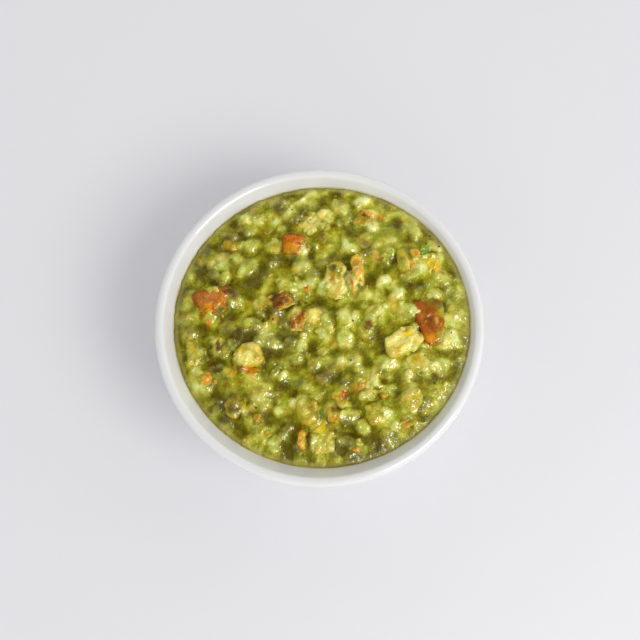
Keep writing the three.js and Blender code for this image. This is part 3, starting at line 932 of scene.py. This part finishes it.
def ring_grid(rings):
    """Angles and reaches of rings of points over a disc, and the triangles between them."""
    angles, reaches = [np.zeros(1)], [np.zeros(1)]
    faces = []

    def index(ring, i):
        return 0 if ring == 0 else 1 + SECTORS * ring * (ring - 1) // 2 + i % (SECTORS * ring)

    for ring in range(1, rings + 1):
        angles.append(np.arange(SECTORS * ring) * TURN / (SECTORS * ring))
        reaches.append(np.full(SECTORS * ring, ring / rings))
        for sector in range(SECTORS):
            for i in range(ring):
                outer, inner = sector * ring + i, sector * (ring - 1) + i
                near, step = index(ring - 1, inner), index(ring, outer + 1)
                faces.append((near, index(ring, outer), step))
                if i < ring - 1:
                    faces.append((near, step, index(ring - 1, inner + 1)))
    return np.concatenate(angles), np.concatenate(reaches), faces


EDGE_WAVES = ((23, 0.3), (41, 0.25), (67, 0.2), (103, 0.15), (149, 0.1))  # count, share
EDGE_FADE_POWER = 14


def ragged_edge(s, around):
    """How far the mash rides up and down the wall."""
    return s.edge_raggedness * sum(
        part * np.sin(number * around + 2 * np.sin(3 * around + number))
        for number, part in EDGE_WAVES
    )


def mash_mesh(form):
    """The guacamole's whole surface: its uneven top, and the inside of the bowl below."""
    s = form.s
    around, reach, faces = ring_grid(s.rings)
    radius = form.edge_radius(around) * reach
    x, y = radius * np.cos(around), radius * np.sin(around)
    height, lump, tone, reach = form.height(x, y, details=True)
    calm = reach**s.calm_power
    pile = collar(s, x, y) * (1 - calm) + ragged_edge(s, around) * reach**EDGE_FADE_POWER
    height, lump = height + pile, lump + pile
    edge = SECTORS * s.rings
    touching = form.inside_radius(height[-edge:]) + s.edge_overlap
    x[-edge:], y[-edge:] = touching * np.cos(around[-edge:]), touching * np.sin(around[-edge:])
    top = np.stack([x, y, height], 1)
    rings = [top]
    start = len(top) - edge
    spin = around[-edge:]
    for level in (*HIDDEN_HEIGHTS, form.bowl.floor_height + GAP):
        at_floor = level < HIDDEN_HEIGHTS[-1]
        out = form.bowl.floor_radius if at_floor else form.inside_radius(level) - GAP
        rings.append(np.stack([out * np.cos(spin), out * np.sin(spin), spin * 0 + level], 1))
        for i in range(edge):
            j = (i + 1) % edge
            faces.append((start + i, start + edge + i, start + edge + j, start + j))
        start += edge
    bottom = start + edge
    faces += [(bottom, start + (i + 1) % edge, start + i) for i in range(edge)]
    rings.append([(0, 0, form.bowl.floor_height + GAP)])
    points = np.concatenate(rings)
    mesh = new_mesh("mash", points, faces)
    hidden = len(points) - len(top)
    rest = {"tone": (tone, 0), "reach": (reach, 1), "calm": (calm, 1), "lump": (lump, 0)}
    for name, (values, below) in rest.items():
        store(mesh, name, np.concatenate([values, np.full(hidden, float(below))]))
    return mesh


# The share that cavity has of the mash's lightness paints shade in the creases and light on the
# crests.
SHADE_BASE, PAINTED_SHADE_SHARE, HUE_SHARE, TONE_SHARE, GRANULE_SHARE = 0.105, 0.47, 0.08, 0.08, 0.12
# Each kind of mottling of the mash: scale, detail, roughness and share of the lightness
MOTTLES = ((1100, 3, 0.7, 0.27), (240, 3, 0.5, 0.45), (120, 2, 0.5, 1.35))
GREENER, GOLDEN, WARMER = screen(230, 255, 225), screen(255, 226, 150), screen(255, 238, 204)
JUICE = {
    "ior": 1.33, "specular_ior_level": 0.2, "specular_tint": (1.0, 0.95, 0.5),
    "subsurface_weight": 0.45, "coat_ior": 1.5, "coat_roughness": 0.2,
}
# How deep light passes into each kind of food, and how far its red, green and blue get
MASH_GLOW = (0.5 * MM, (1.0, 0.9, 0.25))
AVOCADO_GLOW = (0.7 * MM, (1.0, 0.9, 0.3))
CRUMB_GLOW = (0.8 * MM, (1.0, 0.9, 0.3))
TOMATO_GLOW = (0.8 * MM, (1.0, 0.4, 0.12))


def mash_colour(tree, s, place, lift=0.0):
    """Colour and lightness of the mash: painted shade in the creases and painted light on the
    crests, from cavity, with yellow-green lumps, mottles and creamy patches.
    """
    cavity, tone, hue = (tree.attribute(name) for name in ("cavity", "tone", "hue"))
    cells = tree.cells(place, 950)
    chosen = tree.remap(tree.part(cells.out("Color")), 0.45, 0.6)
    granule = tree.remap(cells, 0.12, 0.5, 1, 0) * chosen
    side = tree.vector("DOT_PRODUCT", place, s.pale_side).out("Value")
    lift = tree.remap(side, -50 * MM, 50 * MM, -0.06, 0.06) + lift
    # cavity darkens the creases and lightens the crests: painted shade and painted light.
    shade = cavity * PAINTED_SHADE_SHARE + SHADE_BASE + lift
    shade = shade + hue * HUE_SHARE + tone * TONE_SHARE + granule * GRANULE_SHARE
    for scale, detail, roughness, share in MOTTLES:
        shade = shade + (tree.noise(place, scale, detail, roughness) - 0.5) * share
    base = tree.ramp(shade, (0.1, s.deep), (0.27, s.low), (0.43, s.middle), (0.62, s.high),
                     (0.86, s.pale))
    creamy = tree.tinted(s.paste, tree.ramp(shade, (0.1, 0.45), (0.8, 1.5)))
    base = tree.blend(tree.remap(tree.noise(place, 75), 0.5, 0.66, 0, 0.2), base, creamy)
    green = tree.remap(tree.noise(place, 330, 3), 0.45, 0.65, 0, 0.65)
    base = tree.blend(green, base, tree.tinted(base, GREENER))
    gold = tree.noise(tree.vector("ADD", place, (2.3, 0.7, 0)), 280, 3) + (hue - 0.5) * 0.2
    gold = tree.remap(gold, 0.52, 0.7, 0, 0.9)
    return tree.blend(gold, base, tree.tinted(base, GOLDEN)), shade


def wetness(tree, place):
    """How thick the clear juice is: more on crests that face up, and in patches."""
    crest = tree.remap(tree.attribute("cavity"), 0.38, 0.58)
    facing = tree.remap(tree.attribute("level"), 0.5, 0.75)
    return crest * facing * tree.remap(tree.noise(place, 190), 0.35, 0.5, 0.4, 1.0)


def moist(tree, base, place, grain, glow, juice=1.0):
    """Finishes moist food: its colour, juice and fine bumps, with light passing in."""
    depth, reach = glow
    roughness = tree.remap(tree.noise(place, 260), 0.35, 0.65, 0.24, 0.45)
    bumps = [(grain, 0.3 * MM, 0.7), (tree.noise(place, 1300), 0.4 * MM, 0.9)]
    waves = {"Height": tree.noise(place, 1200, 0), "Distance": 0.25 * MM, "Strength": 1.0}
    return dress(tree, base, roughness, bumps, subsurface_scale=depth, subsurface_radius=reach,
                 coat_weight=wetness(tree, place) * juice,
                 coat_normal=tree.add("ShaderNodeBump", waves), **JUICE)


def painted(tree, base, shade, place):
    """Stains and painted highlights, ragged, and as uneven as the base with its painted shade."""
    stain, strength = tree.attribute("stain", "Color"), tree.attribute("stained")
    stain = tree.tinted(stain, tree.ramp(shade, (0.15, 0.45), (0.45, 1.0), (0.7, 1.35)))
    ragged = strength + (tree.noise(place, 620, 4, 0.7) - 0.5) * 2.2
    within = tree.math("MINIMUM", strength * 3.0, 1.0)
    return tree.blend(tree.remap(ragged, 0.1, 1.1) * within, base, stain)


def mash_material(s):
    """Wet mash, with the colour rim blended in where it thins out against the wall."""
    tree, place = new_material("Mash")
    base, shade = mash_colour(tree, s, place)
    base = tree.blend(tree.remap(tree.attribute("reach"), 0.965, 0.99, 0, 0.6), base, s.rim)
    return moist(tree, painted(tree, base, shade, place), place, shade, MASH_GLOW)


def mash_and_form(context):
    """The settings of the mash, and its form in the bowl."""
    s = context.scene.guacamole_mash
    return s, MashForm(s, context.scene.guacamole_bowl)


class GUAC_OT_mash(bpy.types.Operator):
    """Fill the bowl with lumpy mash"""

    bl_idname = "guacamole.mash"
    bl_label = "Mash"

    def execute(self, context):
        s, form = mash_and_form(context)
        thing = new_object("mash", mash_mesh(form))
        relief(thing, mash_material(s), s, s.curd_height, s.grain_height, s.softness)
        paint(thing.data)
        keep(thing, "guacamole", "guacamole")
        return {"FINISHED"}


# ---- avocado and tomato

PIECE_DETAIL, BIT_DETAIL, LAID_DETAIL = 6, 5, 3  # how often an icosphere is split
PIECE_SOFTNESS = 2
PIECE_FINENESS = 1.7  # how much smaller the curds on a cut piece are than on the mash
PIECE_TONE = 0.6
BARE_DEPTH = 1.5 * MM  # from the mash's level up to where a piece is clean of it
DICE_BOXINESS, SKIN_BOXINESS, LAID_BOXINESS = 6, 8, 3
CHUNK_PALENESS, BIT_PALENESS = 0.3, 0.1  # how much lighter than the mash avocado is
# Heights of the curds and of the grain on each kind of piece
CHUNK_RELIEF, BIT_RELIEF = (1.5 * MM, 0.8 * MM), (1.2 * MM, 0.8 * MM)
DICE_RELIEF, SKIN_RELIEF = (0.7 * MM, 0.35 * MM), (0.6 * MM, 0.3 * MM)
TOMATO_JUICE = 0.6


def set_in(points, row, top):
    """Points of a piece turned and set into the guacamole, with its top at a height."""
    return turned(points, row[5]) + (row[0] * MM, row[1] * MM, top - points[:, 2].max())


def margin_of(points):
    """0 over the middle of a piece and 1 at its outline, seen from above."""
    return (np.abs(points[:, :2]) / np.abs(points[:, :2]).max(0)).max(1)


def joined(parts):
    """Points and faces of several pieces as one."""
    points, faces, start = [], [], 0
    for part, sides in parts:
        points.append(part)
        faces += [[start + corner for corner in side] for side in sides]
        start += len(part)
    return np.concatenate(points), faces


def curled(points):
    """A flat strip bent over a round."""
    bend, radius = points[:, 0] / SKIN_CURL_RADIUS, SKIN_CURL_RADIUS + points[:, 2]
    return np.stack([radius * np.sin(bend), points[:, 1],
                     radius * np.cos(bend) - SKIN_CURL_RADIUS], 1)


def make_piece(form, name, points, faces, margin, material, heights, top=None):
    """A piece with curds like those of the mash around it, and its stains and painted highlights.
    """
    mesh = new_mesh(name, points, faces)
    store(mesh, "margin", margin)
    store(mesh, "tone", np.full(len(points), PIECE_TONE))
    thing = new_object(name, mesh)
    relief(thing, material, form.s, *heights, PIECE_SOFTNESS, PIECE_FINENESS)
    moved = points_of(thing.data)
    if top is not None:
        moved[:, 2] += top - moved[:, 2].max()
        thing.data.vertices.foreach_set("co", moved.ravel())
    x, y, z = moved.T
    store(thing.data, "bare", (z - form.height(x, y)) / BARE_DEPTH)
    paint(thing.data)
    return thing


def set_piece(form, name, row, node, slot, material, heights, seed, bend=None, **cut):
    """Cuts a piece and sets it where its solid is, with its top as high."""
    points, faces = cut_piece(size_of(row), seed, PIECE_DETAIL, **cut)
    margin, top = margin_of(points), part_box(node)[1].z
    points = set_in(bend(points) if bend else points, row, top)
    keep(make_piece(form, name, points, faces, margin, material, heights, top), slot, node)


def bareness(tree, place, size, spread):
    """How clean of mash a piece is: less low down and towards its outline, and in patches."""
    inner = (1.08 - tree.attribute("margin")) * 4.0
    bare = tree.math("MINIMUM", tree.attribute("bare"), inner)
    return bare + (tree.noise(place, size, 3, 0.6) - 0.5) * spread


def avocado_material(s, name, paleness):
    """Paler than the mash, which clings to it low down."""
    tree, place = new_material(name)
    bare = bareness(tree, place, 260, 2.0)
    base, shade = mash_colour(tree, s, place, tree.remap(bare, 0.2, 1.1, 0.02, paleness))
    base = tree.blend(tree.remap(bare, 0.0, 0.8), base, tree.tinted(base, WARMER))
    return moist(tree, painted(tree, base, shade, place), place, shade, AVOCADO_GLOW)


def tomato_material(s, name, dark, middle, light, edge, cover=0.2):
    """Moist tomato, of another colour along its edges, with mash clinging to it. cover
    says how bare of mash the tomato has to be to show."""
    tree, place = new_material(name)
    mash, shade = mash_colour(tree, s, place)
    cloud = tree.noise(place, 450, 4, 0.65)
    base = tree.ramp(cloud, (0.36, dark), (0.5, middle), (0.62, light))
    rim = tree.attribute("margin") + (cloud - 0.5)
    base = tree.blend(tree.remap(rim, 0.6, 0.85), base, edge)
    clean = tree.remap(bareness(tree, place, 330, 2.6), cover, cover + 0.6)
    base = painted(tree, tree.blend(clean, mash, base), shade, place)
    return moist(tree, base, place, cloud, TOMATO_GLOW, TOMATO_JUICE)


class GUAC_OT_chunks(bpy.types.Operator):
    """Set the avocado chunks into the mash"""

    bl_idname = "guacamole.chunks"
    bl_label = "Avocado chunks"

    def execute(self, context):
        s, form = mash_and_form(context)
        material = avocado_material(s, "Avocado flesh", CHUNK_PALENESS)
        for seed, (name, row) in enumerate(AVOCADO_CHUNKS.items(), FIRST_SEED["chunks"]):
            set_piece(form, f"avocado_{name}", row, f"avocado_chunk_{name}", "avocado",
                      material, CHUNK_RELIEF, seed)
        return {"FINISHED"}


class GUAC_OT_tomato(bpy.types.Operator):
    """Set the cut tomato into the mash"""

    bl_idname = "guacamole.tomato"
    bl_label = "Tomato dice"

    def execute(self, context):
        s, form = mash_and_form(context)
        flesh = tomato_material(s, "Tomato flesh", s.tomato_dark, s.tomato, s.tomato_light,
                                s.tomato_dark, 0.05)
        pale = tomato_material(s, "Pale tomato flesh", s.tomato_light, s.pith, s.pale, s.pith)
        for seed, (name, row) in enumerate(TOMATO_DICE.items(), FIRST_SEED["dice"]):
            set_piece(form, f"cut_{name}", row, f"tomato_{name}", "tomato",
                      pale if name in PALE_TOMATO else flesh, DICE_RELIEF, seed,
                      boxiness=DICE_BOXINESS, taper=TOMATO_TAPERS[name])
        return {"FINISHED"}


class GUAC_OT_skins(bpy.types.Operator):
    """Curl the strips of tomato skin out of the mash"""

    bl_idname = "guacamole.skins"
    bl_label = "Tomato skins"

    def execute(self, context):
        s, form = mash_and_form(context)
        material = tomato_material(s, "Tomato skin", s.skin_dark, s.skin, s.skin_light, s.pith)
        for seed, (name, row) in enumerate(TOMATO_SKINS.items(), FIRST_SEED["skins"]):
            set_piece(form, f"curled_{name}", row, f"tomato_skin_{name}", "tomato_skin",
                      material, SKIN_RELIEF, seed, bend=curled, boxiness=SKIN_BOXINESS)
        return {"FINISHED"}


class GUAC_OT_bits(bpy.types.Operator):
    """Stir the smaller avocado and tomato bits in"""

    bl_idname = "guacamole.bits"
    bl_label = "Small bits"

    def execute(self, context):
        s, form = mash_and_form(context)
        small = avocado_material(s, "Stirred-in avocado", BIT_PALENESS)
        stirred = tomato_material(s, "Stirred-in tomato", s.tomato, s.tomato_light, s.pith,
                                  s.tomato_light, 0.75)
        seed = FIRST_SEED["bits"]
        for slot, rows, material in (("avocado", AVOCADO_BITS, small),
                                     ("tomato", TOMATO_BITS, stirred)):
            parts, margins = [], []
            for row in rows:
                x, y, _, _, height, _ = row
                points, faces = cut_piece(size_of(row), seed, BIT_DETAIL)
                middle = form.height(x * MM, y * MM)[0] - BIT_SINK * height * MM
                parts.append((set_in(points, row, middle + points[:, 2].max()), faces))
                margins.append(margin_of(points))
                seed += 1
            keep(make_piece(form, f"{slot}_bits", *joined(parts), np.concatenate(margins),
                            material, BIT_RELIEF), slot)
        return {"FINISHED"}


# ---- crumbs, herb, specks

# Each row: x, y (mm) of a dark speck
SPECKS = (
    (11.6, -0.7), (-9.4, -15.9), (3.3, 12.4), (8.6, 22.3), (39.5, 31.7), (42.6, 27.7),
    (37.9, 28.5), (22.6, 17.9), (-4.7, 6.2), (5.0, -21.3), (-21.6, -30.4), (39.5, -22.1),
)
# Each row: x, y (mm), turn, tilt (degrees) of a blade of the bright herb
HERB_BLADES = ((36.6, 26.2, 20, 25), (37.7, 25.6, 100, -20), (37.3, 26.9, 150, 30),
               (36.4, 25.0, 60, -30), (38.3, 26.4, -30, 20))

BLADE_SIZE, SPECK_SIZE = (2.6, 1.3, 0.35), (0.8, 0.6, 0.5)  # mm
LAID_HEIGHT = 0.5  # of a curd's height, above the level of the mash
# Each kind that is strewn: seed, smallest and largest size, depth in the mash (mm),
# how often its icosphere is split, slot. MashSettings has the number of each
STREWN = {
    "avocado_crumbs": (5, (0.4, 0.4, 0.35), (1.0, 0.8, 0.6), 0.45, 3, "avocado"),
    "tomato_flecks": (8, (0.4, 0.3, 0.25), (1.4, 0.8, 0.6), 0.3, 3, "tomato"),
    "herb_flecks": (11, (0.2, 0.2, 0.08), (0.7, 0.45, 0.2), 0, 2, "guacamole"),
    "pepper_grains": (14, (0.12, 0.12, 0.1), (0.28, 0.24, 0.2), 0, 1, "guacamole"),
}
STREWN_REACH = 0.93  # of the way to the wall
CRUMB_LIFT = 0.08


def scatter_tree():
    """Strews small rounded grains over a mesh, where its attribute reach is low."""
    tree, given = new_geometry_tree(
        "Strewn grains", Float="Density, Sunk, Farthest", Int="Seed, Fineness",
        Vector="Smallest, Largest", Material="Material",
    )
    inside = tree.math("LESS_THAN", tree.named("reach"), given["Farthest"])
    points = tree.add("GeometryNodeDistributePointsOnFaces", {
        "Mesh": given["Geometry"], "Density": given["Density"] * inside, "Seed": given["Seed"]})
    sphere = {"Radius": 1.0, "Subdivisions": given["Fineness"]}
    grain = tree.add("GeometryNodeMeshIcoSphere", sphere)
    spin = tree.add("FunctionNodeRandomValue", {0: (0, 0, 0), 1: (TURN,) * 3, "Seed": 1},
                    data_type="FLOAT_VECTOR")
    size = tree.add("FunctionNodeRandomValue",
                    {0: given["Smallest"], 1: given["Largest"], "Seed": 2},
                    data_type="FLOAT_VECTOR")
    tone = tree.add("FunctionNodeRandomValue", {2: 0.0, 3: 1.0, "Seed": 3}, 1, data_type="FLOAT")
    points = tree.shifted(points, tree.scaled(points.out("Normal"), given["Sunk"] * -1.0))
    strewn = tree.add("GeometryNodeInstanceOnPoints", {
        "Points": points, "Instance": grain, "Rotation": spin, "Scale": size})
    strewn = tree.stored(strewn, "tone", tone, "INSTANCE")
    real = tree.add("GeometryNodeRealizeInstances", {0: strewn})
    place = tree.add("GeometryNodeInputPosition")
    dent = tree.vector("SUBTRACT", tree.noise(place, 900, 1, out=1), (0.5, 0.5, 0.5))
    depth = tree.vector("LENGTH", given["Largest"]).out("Value") * 0.8
    uneven = tree.shifted(real, tree.scaled(dent, depth))
    smooth = tree.add("GeometryNodeSetShadeSmooth", {0: uneven})
    return end_tree(tree, smooth, given["Material"])


def crumb_material(s):
    """Little crumbs of avocado, each of its own shade."""
    tree, place = new_material("Avocado crumbs")
    base, shade = mash_colour(tree, s, place, CRUMB_LIFT)
    return moist(tree, base, place, shade, CRUMB_GLOW)


def fleck_material(s):
    """Flecks of tomato, from peach to rust."""
    tree, place = new_material("Tomato flecks")
    base = tree.ramp(tree.attribute("tone"), (0.15, s.skin), (0.5, s.tomato_light), (0.8, s.pith))
    grain = tree.noise(place, 1500)
    base = tree.blend(tree.remap(grain, 0.5, 0.65, 0, 0.7), base, s.middle)
    return moist(tree, base, place, grain, TOMATO_GLOW)


def herb_material(name, dark, light):
    """Chopped herb or pepper, with a fine grain."""
    tree, place = new_material(name)
    grain = tree.noise(place, 1800)
    base = tree.blend(tree.remap(grain, 0.35, 0.65), dark, light)
    return dress(tree, base, 0.4, [(grain, 0.1 * MM, 0.5)], ior=1.4)


def lay(form, name, rows, size, material):
    """Small pieces that lie on the mash, each turned and tilted."""
    parts = []
    for seed, (x, y, turn, tilt) in enumerate(rows, FIRST_SEED["laid"]):
        points, faces = cut_piece(shaded(size, MM), seed, LAID_DETAIL, LAID_BOXINESS)
        c, t = math.cos(math.radians(tilt)), math.sin(math.radians(tilt))
        points[:, 1:] = points[:, 1:] @ np.array([[c, t], [-t, c]])
        level = form.height(x * MM, y * MM)[0] + form.s.curd_height * LAID_HEIGHT
        parts.append((turned(points, turn) + (x * MM, y * MM, level), faces))
    thing = new_object(name, new_mesh(name, *joined(parts)))
    thing.data.materials.append(material)
    keep(thing, "guacamole")


class GUAC_OT_crumbs(bpy.types.Operator):
    """Strew crumbs of avocado, flecks of tomato and chopped herb over the mash"""

    bl_idname = "guacamole.crumbs"
    bl_label = "Crumbs and herb"

    def execute(self, context):
        s, form = mash_and_form(context)
        pepper = herb_material("Pepper", s.pepper, s.herb_dark)
        kinds = {
            "avocado_crumbs": (s.crumbs, crumb_material(s)),
            "tomato_flecks": (s.flecks, fleck_material(s)),
            "herb_flecks": (s.herb_flecks, herb_material("Chopped herb", s.herb_dark, s.herb)),
            "pepper_grains": (s.pepper_grains, pepper),
        }
        host = bpy.data.objects["mash"].data
        for name, (number, material) in kinds.items():
            seed, smallest, largest, sunk, fineness, slot = STREWN[name]
            thing = new_object(name, host.copy())
            run_tree(thing, bpy.data.node_groups.get("Strewn grains") or scatter_tree(),
                     density=number / (math.pi * s.strewn_radius**2), seed=seed,
                     smallest=shaded(smallest, MM), largest=shaded(largest, MM),
                     sunk=sunk * MM, farthest=STREWN_REACH, fineness=fineness,
                     material=material)
            keep(thing, slot)
        fresh = herb_material("Fresh herb", s.herb, s.herb_light)
        lay(form, "herb_sprig", HERB_BLADES, BLADE_SIZE, fresh)
        lay(form, "pepper_specks", [(*row, 0, 0) for row in SPECKS], SPECK_SIZE, pepper)
        return {"FINISHED"}


# ---- stage

TABLE_DROP = 0.05 * MM  # keeps the table's top just clear of the foot ring
LAMP_COLOUR = (1.0, 0.985, 0.96)
SENSOR_WIDTH = 36  # mm
CLIP_START, CLIP_END = 0.01, 20
CAMERA_PLACE = (0.18 * MM, -94.06 * MM, 379.05 * MM)
CAMERA_TARGET = (0.18 * MM, 0.25 * MM, 42 * MM)


def table_material(s):
    """A pale matte table top with a faint mottle."""
    tree, place = new_material("Table")
    base = tree.blend(tree.noise(place, 14, 4, 0.6), s.table, shaded(s.table, 0.97))
    bumps = [(tree.noise(place, 900), 0.2 * MM, 0.15)]
    return dress(tree, base, 0.55, bumps, specular_ior_level=0.3)


def towards(azimuth, elevation):
    """A direction from the bowl."""
    level = math.cos(elevation)
    return Vector((level * math.cos(azimuth), level * math.sin(azimuth), math.sin(elevation)))


def soft_room(s):
    """Pale walls all round, brightest behind the window, and a dim ceiling."""
    world = bpy.data.worlds.new("Soft room")
    world.use_nodes = True
    room = Tree(world.node_tree)
    way = room.add("ShaderNodeTexCoord", out="Generated")
    side = room.vector("DOT_PRODUCT", way, towards(s.key_azimuth, 0)).out("Value")
    walls = room.remap(side, -0.9, 0.9, s.fill * s.far_wall, s.fill * (2 - s.far_wall))
    ceiling = room.remap(room.part(way, "Z"), 0.6, 0.95, 1.0, s.ceiling)
    background = world.node_tree.nodes["Background"]
    background.inputs["Color"].default_value = (1.0, 1.0, 1.0, 1)
    room.feed(background.inputs["Strength"], walls * ceiling)
    return world


class GUAC_OT_stage(bpy.types.Operator):
    """Lay the table and set the light and the camera"""

    bl_idname = "guacamole.stage"
    bl_label = "Table, light and camera"

    def execute(self, context):
        s = context.scene.guacamole_stage
        half = s.table_side / 2
        corners = [(-half, -half), (half, -half), (half, half), (-half, half)]
        top = new_mesh("table", [(*corner, -TABLE_DROP) for corner in corners], [(0, 1, 2, 3)])
        table = new_object("table", top)
        table.data.materials.append(table_material(s))
        context.scene.world = soft_room(s)

        direction = towards(s.key_azimuth, s.key_elevation)
        for name, power, side in (("window", s.key_power, s.key_size),
                                  ("glint", s.glint_power, s.glint_size)):
            light = bpy.data.lights.new(name, "AREA")
            light.energy, light.size, light.color = power, side, LAMP_COLOUR
            lamp = new_object(name, light)
            lamp.location = direction * s.key_distance
            lamp.rotation_euler = direction.to_track_quat("Z", "Y").to_euler()
            lamp.visible_diffuse = name != "glint"

        camera = bpy.data.cameras.new("camera")
        camera.lens, camera.sensor_width = s.lens, SENSOR_WIDTH
        camera.clip_start, camera.clip_end = CLIP_START, CLIP_END
        viewer = new_object("camera", camera)
        viewer.location = CAMERA_PLACE
        aim = Vector(CAMERA_TARGET) - Vector(CAMERA_PLACE)
        viewer.rotation_euler = aim.to_track_quat("-Z", "Y").to_euler()
        context.scene.camera = viewer
        context.scene.view_settings.view_transform = "Standard"
        return {"FINISHED"}


# ---- panel


class GUAC_PT_panel(bpy.types.Panel):
    """Lists the steps that build the bowl of guacamole."""

    bl_label = "Bowl of guacamole"
    bl_idname = "GUAC_PT_panel"
    bl_space_type = "VIEW_3D"
    bl_region_type = "UI"
    bl_category = "Guacamole"

    def draw(self, context):
        for step in STEPS:
            self.layout.operator(step.bl_idname)


STEPS = (GUAC_OT_bowl, GUAC_OT_mash, GUAC_OT_chunks, GUAC_OT_tomato, GUAC_OT_skins, GUAC_OT_bits,
         GUAC_OT_crumbs, GUAC_OT_stage)
SETTINGS = {
    "guacamole_bowl": BowlSettings,
    "guacamole_mash": MashSettings,
    "guacamole_stage": StageSettings,
}


def register():
    for kind in (*SETTINGS.values(), *STEPS, GUAC_PT_panel):
        bpy.utils.register_class(kind)
    for name, kind in SETTINGS.items():
        setattr(bpy.types.Scene, name, PointerProperty(type=kind))


def unregister():
    for name in SETTINGS:
        delattr(bpy.types.Scene, name)
    for kind in reversed((*SETTINGS.values(), *STEPS, GUAC_PT_panel)):
        bpy.utils.unregister_class(kind)


def main():
    register()
    for step in STEPS:
        group, name = step.bl_idname.split(".")
        getattr(getattr(bpy.ops, group), name)()


if __name__ == "__main__":
    main()
